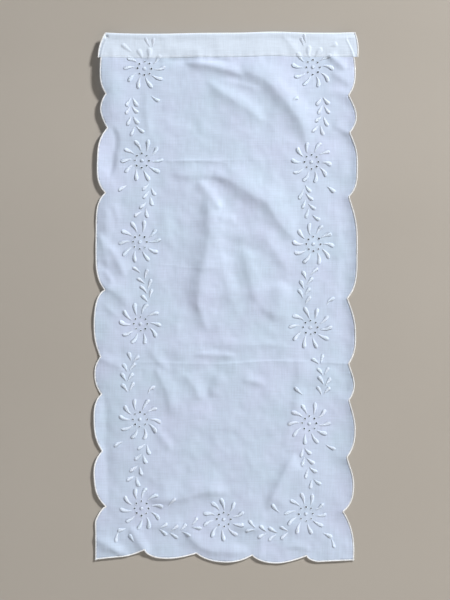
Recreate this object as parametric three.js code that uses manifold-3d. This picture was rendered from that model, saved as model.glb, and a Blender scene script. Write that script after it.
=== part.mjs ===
// Embroidered cotton curtain panel with an open rod casing, hanging from its folded top edge.
// Millimetres, +Z up, width along X, face towards -Y. The origin is on top of the fold, on the
// panel's centre line.

import * as THREE from 'three';
import { mergeVertices } from 'three/addons/utils/BufferGeometryUtils.js';
import Module from 'manifold-3d';

// Cloth and casing.
const CLOTH = 1; // thickness
const FOLD_RADIUS = 4; // outside of the turned-over top edge
const CASING_BULGE = 3.6; // how much further the panel stands back behind the casing
const SEAM_DROP = 39.5; // from the fold down to the seam
const TURNING = 2.9; // turned-under cloth below the top of the seam
const SEAM_GAP = 0.3; // between the turning and the panel behind it
const SEAM_HEIGHT = 2.3; // of the stitched strip that closes that gap
const SEAM_MARGIN = 2; // from the strip's ends to the cloth's side edges

// Side outlines, from the fold down to the bottom corner. Each row is the notch at the top of a
// scallop, with how far that scallop bulges out, the share of its height at which it bulges most,
// and how full it is: 2 is a round arc, and more is flatter with steeper ends.
const LEFT_EDGE = [
  { z: 0, x: -210.5, bulge: 0, peak: 0.5, fullness: 2 },
  { z: -3, x: -208.2, bulge: 0, peak: 0.5, fullness: 2 },
  { z: -6, x: -206, bulge: 11.6, peak: 0.51, fullness: 3.2 },
  { z: -107, x: -210, bulge: 10.8, peak: 0.46, fullness: 1.7 },
  { z: -167, x: -207.5, bulge: 15.4, peak: 0.51, fullness: 3.5 },
  { z: -280.5, x: -211, bulge: 16.1, peak: 0.47, fullness: 4.6 },
  { z: -450, x: -212, bulge: 15, peak: 0.4, fullness: 2.7 },
  { z: -566.5, x: -219.5, bulge: 10.9, peak: 0.49, fullness: 2.3 },
  { z: -632, x: -218, bulge: 13.3, peak: 0.45, fullness: 2.8 },
  { z: -731, x: -216.5, bulge: 17, peak: 0.5, fullness: 2.8 },
  { z: -828, x: -210, bulge: 13.3, peak: 0.28, fullness: 1.15 },
  { z: -920, x: -228, bulge: 0, peak: 0.5, fullness: 2 },
];
const RIGHT_EDGE = [
  { z: 0, x: 226, bulge: 0, peak: 0.5, fullness: 2 },
  { z: -4.5, x: 213.5, bulge: 0, peak: 0.5, fullness: 2 },
  { z: -13, x: 211.5, bulge: 12.9, peak: 0.54, fullness: 2.6 },
  { z: -110, x: 215, bulge: 11.7, peak: 0.57, fullness: 2 },
  { z: -175, x: 217, bulge: 13.7, peak: 0.57, fullness: 3.1 },
  { z: -287, x: 215.5, bulge: 15.5, peak: 0.58, fullness: 3.8 },
  { z: -464.5, x: 212.5, bulge: 12.6, peak: 0.56, fullness: 2.6 },
  { z: -578, x: 215, bulge: 9.1, peak: 0.59, fullness: 1.9 },
  { z: -641.5, x: 215.5, bulge: 12.2, peak: 0.58, fullness: 2.3 },
  { z: -741, x: 212, bulge: 15, peak: 0.6, fullness: 2.5 },
  { z: -837, x: 205, bulge: 7.6, peak: 0.44, fullness: 1.8 },
  { z: -921, x: 223.5, bulge: 0, peak: 0.5, fullness: 2 },
];
// Rows of cloth built across each of those scallops, from the fold down.
const ROWS = [1, 2, 14, 5, 6, 7, 6, 5, 5, 5, 5];

// Bottom outline, from left to right, in the same way, with the bulge downwards.
const BOTTOM_EDGE = [
  { x: -228, z: -921, bulge: 5, peak: 0.66, fullness: 1.6 },
  { x: -142, z: -903.5, bulge: 13, peak: 0.35, fullness: 2.1 },
  { x: -51.5, z: -910, bulge: 13.5, peak: 0.48, fullness: 2.4 },
  { x: 46, z: -913.5, bulge: 13.4, peak: 0.42, fullness: 1.9 },
  { x: 141, z: -914.5, bulge: 8.5, peak: 0.23, fullness: 1.25 },
  { x: 223.5, z: -922, bulge: 0, peak: 0.5, fullness: 2 },
];
const COLUMNS_PER_SCALLOP = 6;
const SCALLOP_REACH = 70; // how far up the cloth its rows still follow the bottom outline

// The flap, turned over the face to make the casing, has side edges of its own, which stand out
// past the panel's.
const FLAP_LEFT = { fold: -210.5, end: -223.5, bulge: 4.8, peak: 0.55, fullness: 2.2 };
const FLAP_RIGHT = { fold: 226, end: 231, bulge: 2.2, peak: 0.5, fullness: 2 };

// The fold and the seam aren't quite straight.
const TOP_LINE = [
  { x: 84, rise: 1.9, spread: 40 },
  { x: -130, rise: -1.8, spread: 70 },
];
const TOP_LINE_REACH = 110; // how far below the fold this fades out

// Main folds: how far each stands out towards the face, how broad it is, and the points it runs through.
const FOLDS = [
  { rise: 2.6, width: 15, through: [[-70, -52], [56, -72], [95, -101], [132, -160], [140, -200]] },
  { rise: 1.8, width: 12, through: [[-45, -82], [20, -124], [93, -180]] },
  { rise: 2.4, width: 16, through: [[-115, -243], [11, -255], [77, -295], [126, -368]] },
  { rise: 1.9, width: 12, through: [[-49, -261], [-21, -296], [18, -313]] },
  { rise: 1.8, width: 13, through: [[-3, -354], [63, -355], [119, -404]] },
  { rise: 3.0, width: 17, through: [[-36, -305], [-31, -359], [-50, -443], [-29, -525]] },
  { rise: 1.1, width: 11, through: [[-5, -380], [0, -438], [18, -483]] },
  { rise: 1.8, width: 14, through: [[28, -371], [41, -429], [65, -481]] },
  { rise: 2.2, width: 14, through: [[-148, -810], [-84, -815], [2, -802]] },
  { rise: 2.1, width: 12, through: [[112, -744], [90, -789], [72, -833]] },
  { rise: 1.2, width: 11, through: [[-215, -443], [-175, -474], [-168, -488]] },
  { rise: 1.5, width: 12, through: [[-70, -872], [-47, -900], [35, -910]] },
];
const FOLDS_START = 46; // the casing and its seam lie flat, down to here
const FOLDS_FULL = 75; // and the folds have their full height from here

const FLAP = -FOLD_RADIUS + CLOTH / 2; // the middle of the flap, along Y
const PANEL = FLAP + CLOTH + SEAM_GAP; // the middle of the panel below the seam

const lerp = THREE.MathUtils.lerp;
const smoothstep = THREE.MathUtils.smoothstep;

// How far out a scallop is at share s of its length.
function arch(s, { bulge, peak, fullness }) {
  const centred = 2 * s ** (Math.log(0.5) / Math.log(peak)) - 1;
  return bulge * (1 - Math.abs(centred) ** fullness);
}

// An outline's offset at a place along it: side is the direction in which its scallops bulge.
function outline(edge, along, across, place, side) {
  const direction = Math.sign(edge[edge.length - 1][along] - edge[0][along]);
  const reached = edge.findIndex((row, i) => i > 0 && direction * (row[along] - place) >= 0);
  const next = reached < 0 ? edge.length - 1 : reached;
  const [a, b] = [edge[next - 1], edge[next]];
  const s = THREE.MathUtils.clamp((place - a[along]) / (b[along] - a[along]), 0, 1);
  return lerp(a[across], b[across], s) + side * arch(s, a);
}

const leftAt = (z) => outline(LEFT_EDGE, 'z', 'x', z, -1);
const rightAt = (z) => outline(RIGHT_EDGE, 'z', 'x', z, 1);
const bottomAt = (x) => outline(BOTTOM_EDGE, 'x', 'z', x, -1);

function flapEdgeAt(edge, z, side) {
  const s = THREE.MathUtils.clamp(-z / SEAM_DROP, 0, 1);
  return lerp(edge.fold, edge.end, s) + side * arch(s, edge);
}

function topLine(x) {
  const bump = (at, { x: middle, rise, spread }) => rise * Math.exp(-(((at - middle) / spread) ** 2));
  return TOP_LINE.reduce((sum, row) => sum + bump(x, row) - bump(0, row), 0);
}

// Distance from a point to a stretch between two points, all in the cloth's plane.
function distance([px, pz], [ax, az], [bx, bz]) {
  const along = ((px - ax) * (bx - ax) + (pz - az) * (bz - az)) / ((bx - ax) ** 2 + (bz - az) ** 2);
  const s = THREE.MathUtils.clamp(along, 0, 1);
  return Math.hypot(px - lerp(ax, bx, s), pz - lerp(az, bz, s));
}

function relief(x, z) {
  const height = FOLDS.reduce((sum, fold) => {
    const stretches = fold.through.slice(1).map((end, i) => distance([x, z], fold.through[i], end));
    return sum + fold.rise * Math.exp(-((Math.min(...stretches) / fold.width) ** 2));
  }, 0);
  return height * smoothstep(-z, FOLDS_START, FOLDS_FULL);
}

// Shares of a stretch at which its rows or columns lie, closer together towards both ends.
function shares(count) {
  return Array.from({ length: count }, (_, i) => {
    const even = i / count;
    return lerp(even, 0.5 - 0.5 * Math.cos(Math.PI * even), 0.5);
  });
}

// Shares of the width at which the columns lie, with one on every notch of the bottom edge.
function columns() {
  const first = BOTTOM_EDGE[0].x;
  const width = BOTTOM_EDGE[BOTTOM_EDGE.length - 1].x - first;
  const found = BOTTOM_EDGE.slice(0, -1).flatMap((notch, i) =>
    shares(COLUMNS_PER_SCALLOP).map((s) => (lerp(notch.x, BOTTOM_EDGE[i + 1].x, s) - first) / width));
  return [...found, 1];
}

// How far back the panel lies behind the casing: share q goes from the seam up to the fold.
function panelDepth(q) {
  return lerp(PANEL, -FLAP, smoothstep(q, 0, 1)) + CASING_BULGE * Math.sin(Math.PI * q);
}

// A point of the panel's middle with its path's direction there.
function panelPoint(x, z) {
  const rise = SEAM_DROP - FOLD_RADIUS;
  const q = THREE.MathUtils.clamp((z + SEAM_DROP) / rise, 0, 1);
  const step = 0.01;
  const slope = q === 0 || q === 1 ? 0 : (panelDepth(q + step) - panelDepth(q - step)) / (2 * step * rise);
  const length = Math.hypot(slope, 1);
  return { x, y: panelDepth(q), z, tangent: [slope / length, 1 / length] };
}

// The panel's rows, from the bottom up to where the fold starts to turn.
function panelRows(across) {
  const stations = ROWS.flatMap((count, i) =>
    shares(count).map((s) => [
      lerp(LEFT_EDGE[i].z, LEFT_EDGE[i + 1].z, s),
      lerp(RIGHT_EDGE[i].z, RIGHT_EDGE[i + 1].z, s),
    ]));
  const below = stations.filter(([left, right]) => Math.max(left, right) < -FOLD_RADIUS);
  const last = [LEFT_EDGE[LEFT_EDGE.length - 1].z, RIGHT_EDGE[RIGHT_EDGE.length - 1].z];
  const rows = [[-FOLD_RADIUS, -FOLD_RADIUS], ...below, last].reverse();
  return rows.map(([zLeft, zRight]) => across.map((u) => {
    const x = lerp(leftAt(zLeft), rightAt(zRight), u);
    const level = lerp(zLeft, zRight, u);
    const scallops = bottomAt(x) - lerp(last[0], last[1], u);
    const height = level - lerp(last[0], last[1], u);
    const z = level + scallops * (1 - smoothstep(height, 0, SCALLOP_REACH));
    return panelPoint(x, z);
  }));
}

// One row of the fold or of the flap, at height z, with its path's direction.
function levelRow(across, y, z, tangent, left, right) {
  return across.map((u) => ({ x: lerp(left, right, u), y, z, tangent }));
}

// The fold, over the top from the panel to the flap in front of it.
function foldRows(across, steps = 6) {
  const radius = FOLD_RADIUS - CLOTH / 2;
  return Array.from({ length: steps }, (_, i) => {
    const angle = (Math.PI * (i + 1)) / steps;
    const y = radius * Math.cos(angle);
    const z = radius * Math.sin(angle) - FOLD_RADIUS;
    const edgeHeight = z + CLOTH / 2;
    const onFlap = angle > Math.PI / 2;
    const left = onFlap ? flapEdgeAt(FLAP_LEFT, edgeHeight, -1) : leftAt(edgeHeight);
    const right = onFlap ? flapEdgeAt(FLAP_RIGHT, edgeHeight, 1) : rightAt(edgeHeight);
    return levelRow(across, y, z, [-Math.sin(angle), Math.cos(angle)], left, right);
  });
}

// The flap, from the fold down to the seam, and the turning below it.
function flapRows(across, steps = 7) {
  const rows = Array.from({ length: steps }, (_, i) => {
    const z = lerp(-FOLD_RADIUS, -SEAM_DROP, (i + 1) / steps);
    return levelRow(across, FLAP, z, [0, -1], flapEdgeAt(FLAP_LEFT, z, -1), flapEdgeAt(FLAP_RIGHT, z, 1));
  });
  const end = levelRow(across, FLAP, -SEAM_DROP - TURNING, [0, -1], FLAP_LEFT.end, FLAP_RIGHT.end);
  return [...rows, end];
}

// A closed solid from rows of points and their two sides: outer and inner are [x, y, z] makers.
function sheetGeometry(rows, outer, inner) {
  const across = rows[0].length;
  const layer = rows.length * across;
  const positions = [...rows.flat().map(outer), ...rows.flat().map(inner)].flat();
  const index = [];
  const quad = (a, b, c, d) => index.push(a, b, c, a, c, d);
  const at = (row, column, side) => side * layer + row * across + column;
  for (let r = 0; r < rows.length - 1; r++) {
    for (let c = 0; c < across - 1; c++) {
      quad(at(r, c, 0), at(r, c + 1, 0), at(r + 1, c + 1, 0), at(r + 1, c, 0));
      quad(at(r, c, 1), at(r + 1, c, 1), at(r + 1, c + 1, 1), at(r, c + 1, 1));
    }
    quad(at(r, 0, 0), at(r + 1, 0, 0), at(r + 1, 0, 1), at(r, 0, 1));
    quad(at(r, across - 1, 0), at(r, across - 1, 1), at(r + 1, across - 1, 1), at(r + 1, across - 1, 0));
  }
  const end = rows.length - 1;
  for (let c = 0; c < across - 1; c++) {
    quad(at(0, c, 0), at(0, c, 1), at(0, c + 1, 1), at(0, c + 1, 0));
    quad(at(end, c, 0), at(end, c + 1, 0), at(end, c + 1, 1), at(end, c, 1));
  }
  const geometry = new THREE.BufferGeometry();
  geometry.setAttribute('position', new THREE.Float32BufferAttribute(positions, 3));
  geometry.setIndex(index);
  return geometry;
}

// Where a point of the cloth's middle goes once the uneven top line and the folds are added,
// moved off the middle by offset, towards the embroidered side of the cloth.
function placed({ x, y, z, tangent }, offset) {
  const [alongY, alongZ] = tangent;
  const bow = topLine(x) * (1 - smoothstep(-z, SEAM_DROP, TOP_LINE_REACH));
  const foldHeight = alongZ > 0 ? relief(x, z) : 0;
  return [x, y - alongZ * offset - foldHeight, z + alongY * offset + bow];
}

function clothGeometry() {
  const across = columns();
  const rows = [...panelRows(across), ...foldRows(across), ...flapRows(across)];
  return sheetGeometry(rows, (p) => placed(p, CLOTH / 2), (p) => placed(p, -CLOTH / 2));
}

// The stitched strip that joins the turning to the panel: it reaches into both layers.
function seamGeometry() {
  const top = -SEAM_DROP;
  const bottom = -SEAM_DROP - SEAM_HEIGHT;
  const left = leftAt(top) + SEAM_MARGIN;
  const right = rightAt(top) - SEAM_MARGIN;
  const rows = [bottom, top].map((z) =>
    columns().map((u) => ({ x: lerp(left, right, u), y: FLAP, z, tangent: [0, 1] })));
  return sheetGeometry(rows, (p) => placed(p, 0), (p) => placed(p, -CLOTH - SEAM_GAP));
}

const wasm = await Module();
wasm.setup();

function toSolid(geometry) {
  const merged = mergeVertices(geometry, 1e-4);
  return new wasm.Manifold(new wasm.Mesh({
    numProp: 3,
    vertProperties: new Float32Array(merged.attributes.position.array),
    triVerts: new Uint32Array(merged.index.array),
  }));
}

function toGeometry(solid) {
  const mesh = solid.getMesh();
  const geometry = new THREE.BufferGeometry();
  geometry.setAttribute('position', new THREE.BufferAttribute(mesh.vertProperties, 3));
  geometry.setIndex(new THREE.BufferAttribute(mesh.triVerts, 1));
  geometry.computeVertexNormals();
  return geometry;
}

function panel() {
  const cotton = new THREE.MeshStandardMaterial({ color: 0xe4ebf6, roughness: 0.9, metalness: 0 });
  const solid = toSolid(clothGeometry()).add(toSolid(seamGeometry()));
  const mesh = new THREE.Mesh(toGeometry(solid), cotton);
  mesh.name = 'panel';
  return mesh;
}

const curtain = new THREE.Group();
curtain.add(panel());

export default curtain;
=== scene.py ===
"""White cotton curtain panel with daisies and leaf sprays worked in padded satin stitch.

Cloth and stitches are made flat first. A point of the flat cloth is (across, along, lift): across is
its place from side to side, along runs up the panel, over the fold and down the flap that makes the
casing in front of it, and lift is the height off the middle of the cloth, towards its face. hang()
then gives each of these points its place on the hanging panel. Sizes are millimetres until a mesh
is written.
"""
import math
from collections import namedtuple

import bmesh
import bpy
import numpy as np
from mathutils import Matrix, Vector, geometry


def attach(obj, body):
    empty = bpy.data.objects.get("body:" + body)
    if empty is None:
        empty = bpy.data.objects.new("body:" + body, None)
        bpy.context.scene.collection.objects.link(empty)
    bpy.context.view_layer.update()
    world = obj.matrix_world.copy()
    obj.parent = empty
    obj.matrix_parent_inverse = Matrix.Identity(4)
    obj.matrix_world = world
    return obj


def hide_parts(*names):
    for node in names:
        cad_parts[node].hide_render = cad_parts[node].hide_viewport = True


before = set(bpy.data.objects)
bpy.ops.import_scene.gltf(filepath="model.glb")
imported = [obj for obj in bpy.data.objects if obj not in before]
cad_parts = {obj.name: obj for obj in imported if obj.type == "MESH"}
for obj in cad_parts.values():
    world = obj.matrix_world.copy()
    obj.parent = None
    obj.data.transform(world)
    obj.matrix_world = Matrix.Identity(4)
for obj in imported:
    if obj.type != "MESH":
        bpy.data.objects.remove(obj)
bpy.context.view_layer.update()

MM = 0.001
rng = np.random.default_rng(7)

# The cloth's thickness, and the distance between the middles of two layers that lie together.
CLOTH = 0.2
LAYER = CLOTH + 0.04

# The depths at which the flap and the panel hang: the panel is two layers behind the flap at the
# seam, and comes a little forward below it.
FOLD_RADIUS = 4.0
FLAP = -FOLD_RADIUS + CLOTH / 2
PANEL = FLAP + 2 * LAYER
PANEL_BELOW = FLAP + 0.12

# The casing: how high its top rounds, how far the panel bulges behind it, and how far below the top
# its seam lies. Below the seam the flap ends in a hem, whose raw edge goes up inside it.
FOLD_HEIGHT = 2.3
CASING_BULGE = 3.4
BULGE_STEEPNESS = 1.5
SEAM_DROP = 39.5
TURNING = 3.9
TURNED_UNDER = 7.0
FLAP_BOTTOM = -SEAM_DROP - TURNING

# Where the side view of the cloth starts, and its number of steps up the casing's back, over the
# fold and round the hem. The panel steps back just under the flap and is in place a little higher.
RUN_FOOT = -1000
CASING_STEPS = 40
FOLD_STEPS = 32
HEM_STEPS = 6
STEP_UNDER = 0.2
STEP_OVER = 1.6

# At both ends the casing is pressed to a share of its depth. That starts at the second of these
# distances from the end and is complete at the first.
MOUTH_DEPTH = 0.1
MOUTH_START = 4
MOUTH_REACH = 38

# Between these two places along it the panel goes under the flap. What is stitched there is pressed
# to a share of its height and lifts the flap: in full from a certain half width on, out to a margin
# round it, and no further off than a reach, with flanks whose steepness is a power. Past the panel's
# side edges the flap falls back. It lifts and falls back only from a little way below the fold on.
COVER_START = (FLAP_BOTTOM - 3, FLAP_BOTTOM + 1)
PRESSED_SHARE = 0.3
SHOWN_THROUGH = 0.85
SHOWN_HALF_WIDTH = 2.6
SHOWN_MARGIN = 0.4
SHOWN_STEEPNESS = 3
SHOWN_REACH = 6
SHOWN_START = (6, 13)
FALL_BACK = 0.5
FALL_BACK_START = (-0.5, 2)

# Spacing of the points of the cloth's mesh, and the places beyond which none is needed.
CLOTH_GRID = 3.6
FOLD_GRID = 1.5
EDGE_GRID = 3.6
EDGE_MARGIN = 2.2
GRID_LEFT, GRID_RIGHT, GRID_BOTTOM = -236, 238, -930
# The flap's mesh is finer over the stitches, from this far out on both sides.
FINE_START = 100
FINE_GRID = 1.3
# Rows of points where the panel steps back, round the hem and beside each crease.
STEP_ROWS = (-1.3, -0.3, 0.7, 1.7)
HEM_ROWS = (-0.6, -0.25, 0.1, 0.45)
CREASE_ROWS = (-3.6, -1.7, 0, 1.7, 3.6)
CREASE_GRID = 2.4
# The raw edge's rows: how far past the hem they start, and how far apart they are.
RAW_EDGE_START = 2.2
RAW_EDGE_GRID = 2.4
# Gaps that keep the other points clear of the creases' rows, the hem's rows and the eyelets.
CREASE_GAP = 5.0
HEM_GAP = 0.8
EYELET_GAP = 1.2
# A triangle is cut out where its middle lies within this share of an eyelet's hole.
INSIDE_HOLE = 0.97

# Side and bottom outlines: each notch, then how far the scallop after it bulges out, the share of
# its length at which it bulges most, and how full it is, where 2 is a parabola.
Notch = namedtuple("Notch", "place across bulge peak fullness")
LEFT_EDGE = [
    Notch(0, -210.5, 0, 0.5, 2),
    Notch(-6, -206, 11.6, 0.51, 3.2),
    Notch(-107, -210, 10.8, 0.46, 1.7),
    Notch(-167, -207.5, 15.4, 0.51, 3.5),
    Notch(-280.5, -211, 16.1, 0.47, 4.6),
    Notch(-450, -212, 15, 0.4, 2.7),
    Notch(-566.5, -219.5, 10.9, 0.49, 2.3),
    Notch(-632, -218, 13.3, 0.45, 2.8),
    Notch(-731, -216.5, 17, 0.5, 2.8),
    Notch(-828, -210, 13.3, 0.28, 1.15),
    Notch(-920, -228, 0, 0.5, 2),
]
RIGHT_EDGE = [
    Notch(0, 226, 0, 0.5, 2),
    Notch(-4.5, 213.5, 0, 0.5, 2),
    Notch(-13, 211.5, 12.9, 0.54, 2.6),
    Notch(-110, 215, 11.7, 0.57, 2),
    Notch(-175, 217, 13.7, 0.57, 3.1),
    Notch(-287, 215.5, 15.5, 0.58, 3.8),
    Notch(-464.5, 212.5, 12.6, 0.56, 2.6),
    Notch(-578, 215, 9.1, 0.59, 1.9),
    Notch(-641.5, 215.5, 12.2, 0.58, 2.3),
    Notch(-741, 212, 15, 0.6, 2.5),
    Notch(-837, 205, 7.6, 0.44, 1.8),
    Notch(-921, 223.5, 0, 0.5, 2),
]
BOTTOM_EDGE = [
    Notch(-228, -921, 5, 0.66, 1.6),
    Notch(-142, -903.5, 13, 0.35, 2.1),
    Notch(-51.5, -910, 13.5, 0.48, 2.4),
    Notch(46, -913.5, 13.4, 0.42, 1.9),
    Notch(141, -914.5, 8.5, 0.23, 1.25),
    Notch(223.5, -922, 0, 0.5, 2),
]
# Each side edge of the panel, with the direction in which its scallops bulge.
SIDE_EDGES = ((LEFT_EDGE, -1), (RIGHT_EDGE, 1))
# The flap has side edges of its own, from the fold down to the seam.
FLAP_LEFT = [Notch(0, -210.5, 3, 0.45, 2), Notch(-SEAM_DROP, -223.5, 0, 0.5, 2)]
FLAP_RIGHT = [Notch(0, 226, 2.2, 0.5, 2), Notch(-SEAM_DROP, 231, 0, 0.5, 2)]

# The fold and the seam aren't quite straight: where a rise lies, its height and its spread, and how
# far down the panel it is still felt.
TOP_LINE = [(84, 1.9, 40), (-130, -1.8, 70)]
TOP_LINE_REACH = 110
# The cloth's gathers along the seam: how far below it their middle lies, how far they reach, and
# their height and pace. The fine ones wander.
GATHER_DROP = 3
SEAM_SPREAD = 9
FINE_GATHER, FINE_PACE = 0.16, 3.1
WANDER, WANDER_PACE = 2, 41
BROAD_GATHER, BROAD_PACE = 0.12, 7.3

# Soft folds. Each stands out along a line through its points, by its rise, and falls away over one
# width on the line's right-hand side and over another on its left, as the line is drawn. The
# steepness on each side is the power in its curve. At both ends it tapers over a share of its
# length, down to a share of its widths. Beyond a number of widths nothing of it is left.
Fold = namedtuple("Fold", "rise right left points")
RIGHT_STEEPNESS = 1.45
LEFT_STEEPNESS = 2
FOLD_TAPER = 0.24
END_WIDTH = 0.4
FOLD_REACH = 3
FOLDS = [
    Fold(3.8, 8, 12, [(-73, -53), (-38, -56), (-7, -64), (32, -77)]),
    Fold(3.9, 14, 25, [
        (2, -61), (27, -66), (49, -74), (70, -84), (88, -101), (105, -121), (123, -144), (135, -166),
        (140, -201),
    ]),
    Fold(2.4, 11, 15, [(-36, -84), (-14, -100), (14, -118), (41, -137), (70, -159)]),
    Fold(0.7, 5, 5, [(-21, -82), (25, -91), (70, -105)]),
    Fold(2.1, 6, 9, [(177, -40), (186, -46), (196, -54), (210, -67)]),
    Fold(1.2, 6, 12, [(182, -71), (196, -77), (209, -86), (217, -96)]),
    Fold(0.5, 6, 7, [(168, -107), (193, -105), (221, -105)]),
    Fold(1.2, 6, 12, [(184, -163), (200, -169), (219, -182)]),
    Fold(1.6, 6, 14, [(-101, -248), (-63, -251), (-31, -251), (7, -256)]),
    Fold(4.1, 14, 27, [
        (-26, -250), (4, -257), (28, -271), (51, -286), (70, -296), (82, -315), (95, -334),
        (111, -352), (128, -366),
    ]),
    Fold(2.0, 13, 20, [
        (-7, -355), (25, -357), (49, -353), (67, -359), (81, -375), (93, -393), (111, -424),
    ]),
    Fold(2.4, 11, 12, [(-49, -257), (-35, -277), (-22, -292), (-7, -310)]),
    Fold(0.8, 5, 10, [(-14, -323), (0, -327), (18, -329)]),
    Fold(4.9, 17, 32, [
        (-40, -282), (-30, -310), (-28, -343), (-33, -376), (-40, -408), (-45, -436), (-48, -467),
        (-47, -499),
    ]),
    Fold(0.8, 6, 9, [(-49, -471), (-43, -495), (-31, -525)]),
    Fold(2.2, 17, 18, [(-8, -383), (-6, -408), (-1, -434), (11, -478)]),
    Fold(2.7, 13, 20, [(30, -373), (35, -399), (42, -427), (49, -452), (55, -478)]),
    Fold(2.6, 20, 17, [(93, -432), (93, -464), (83, -506)]),
    Fold(0.7, 8, 10, [(-108, -301), (-103, -336), (-105, -371)]),
    Fold(0.6, 5, 9, [(-141, -100), (-139, -145), (-131, -191)]),
    Fold(0.5, 8, 9, [(-110, -168), (-84, -165), (-54, -172)]),
    Fold(2.9, 8, 21, [(-140, -817), (-105, -817), (-77, -814), (-52, -806), (-26, -802), (9, -807)]),
    Fold(3.2, 8, 19, [(119, -733), (107, -760), (94, -786), (83, -808), (71, -835)]),
    Fold(0.7, 5, 8, [(-35, -547), (11, -546), (63, -546), (116, -550)]),
    Fold(0.25, 3, 3, [(-84, -544), (-28, -540), (25, -535), (67, -528)]),
    Fold(1.5, 5, 5, [(-57, -563), (-33, -563), (-7, -564), (21, -567)]),
    Fold(1.1, 6, 14, [(126, -558), (126, -593), (124, -628), (119, -667)]),
    Fold(1.1, 6, 10, [(-140, -543), (-127, -562), (-112, -581), (-94, -595)]),
    Fold(1.6, 7, 14, [(-126, -583), (-112, -609), (-100, -635), (-95, -670)]),
    Fold(1.8, 10, 12, [(-73, -595), (-63, -609), (-52, -623), (-43, -644)]),
    Fold(0.8, 8, 12, [(-12, -590), (-17, -614), (-26, -639)]),
    Fold(1.1, 5, 9, [(27, -608), (46, -610), (70, -616)]),
    Fold(0.5, 8, 9, [(-36, -691), (-10, -690), (18, -693)]),
    Fold(1.0, 7, 8, [(-131, -677), (-119, -697), (-106, -714), (-94, -733)]),
    Fold(0.9, 10, 9, [(130, -625), (125, -656), (114, -686), (102, -723)]),
    Fold(2.0, 7, 12, [(-238, -879), (-218, -889), (-201, -897), (-182, -915)]),
    Fold(2.4, 7, 11, [(-169, -861), (-161, -877), (-148, -896), (-134, -917)]),
    Fold(2.5, 8, 16, [(-75, -866), (-59, -885), (-43, -898), (-21, -906), (11, -908), (42, -907)]),
    Fold(1.7, 8, 10, [(11, -863), (37, -866), (74, -870)]),
    Fold(0.9, 5, 7, [(62, -875), (60, -898), (58, -926)]),
    Fold(1.4, 8, 14, [(-140, -859), (-105, -865), (-70, -866)]),
    Fold(1.3, 6, 8, [(-220, -901), (-196, -903), (-168, -915)]),
    Fold(0.5, 5, 6, [(102, -870), (102, -896), (102, -926)]),
    Fold(1.3, 6, 8, [(102, -898), (125, -898), (151, -905)]),
    Fold(0.5, 5, 5, [(181, -877), (179, -926)]),
    Fold(0.6, 5, 4, [(210, -884), (209, -926)]),
    Fold(-2.4, 15, 6, [(-198, -163), (-193, -187), (-197, -212), (-199, -233), (-203, -254)]),
    Fold(1.7, 9, 9, [(-222, -348), (-215, -369), (-210, -390), (-208, -411)]),
    Fold(1.9, 8, 10, [(-206, -371), (-197, -387), (-188, -404), (-175, -429)]),
    Fold(1.9, 9, 18, [(-217, -441), (-201, -449), (-185, -462), (-171, -481)]),
    Fold(1.4, 6, 12, [(-231, -564), (-213, -572), (-196, -579), (-178, -592)]),
    Fold(0.5, 9, 8, [(189, -266), (193, -336), (195, -424), (193, -520)]),
    Fold(-1.2, 8, 9, [(-215, -621), (-210, -669), (-210, -730), (-207, -782), (-208, -838)]),
    Fold(0.9, 8, 7, [(-206, -306), (-208, -336), (-206, -362)]),
    Fold(0.7, 6, 8, [(-98, -29), (-70, -30), (-38, -33)]),
    Fold(0.25, 8, 8, [(-12, 5), (-15, -16), (-12, -37)]),
    Fold(0.7, 6, 8, [(98, -7), (112, -21), (125, -39)]),
    Fold(-0.7, 16, 10, [(-400, -13), (-185, -14), (0, -14), (182, -14), (401, -13)]),
    Fold(-1.5, 6, 4.5, [(-110, -48), (-77, -48), (-45, -48), (-21, -49), (14, -51)]),
    Fold(-0.7, 3.5, 3, [(-157, -49), (-136, -49), (-108, -49)]),
    Fold(1.0, 6, 6, [(-215, -415), (-206, -425), (-197, -439)]),
    Fold(0.8, 6, 7, [(-199, -298), (-192, -313), (-190, -331)]),
    Fold(1.6, 36, 23, [(-199, -16), (-198, -74), (-197, -126), (-199, -170), (-201, -208)]),
    Fold(1.6, 34, 22, [(-208, -236), (-208, -275), (-208, -313), (-210, -355)]),
    Fold(2.6, 40, 12, [(230, 100), (230, -65)]),
    Fold(0.9, 6, 6, [(-213, -473), (-203, -485), (-189, -495)]),
    Fold(0.5, 8, 10, [(-101, 0), (-105, -16), (-98, -35)]),
]

# Narrow creases in the same form, from the way the panel was folded and put away.
CREASES = [
    Fold(0.6, 2.8, 4, [(-122, -225), (-80, -225), (-36, -224), (21, -224)]),
    Fold(0.7, 4, 5, [(-91, -225), (-52, -225), (-24, -226), (7, -229)]),
    Fold(0.22, 2.6, 4, [(4, -224), (77, -223), (209, -222)]),
    Fold(0.25, 2.4, 2.6, [(-138, -404), (-98, -407), (-52, -412), (11, -412)]),
    Fold(0.9, 12, 2.6, [(-24, -580), (25, -577), (69, -574), (112, -574), (154, -576)]),
    Fold(0.45, 2.8, 2.4, [(-178, -575), (-115, -577), (-54, -579), (4, -579)]),
    Fold(0.4, 2.8, 2.4, [(144, -576), (182, -577), (221, -579)]),
]

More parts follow.
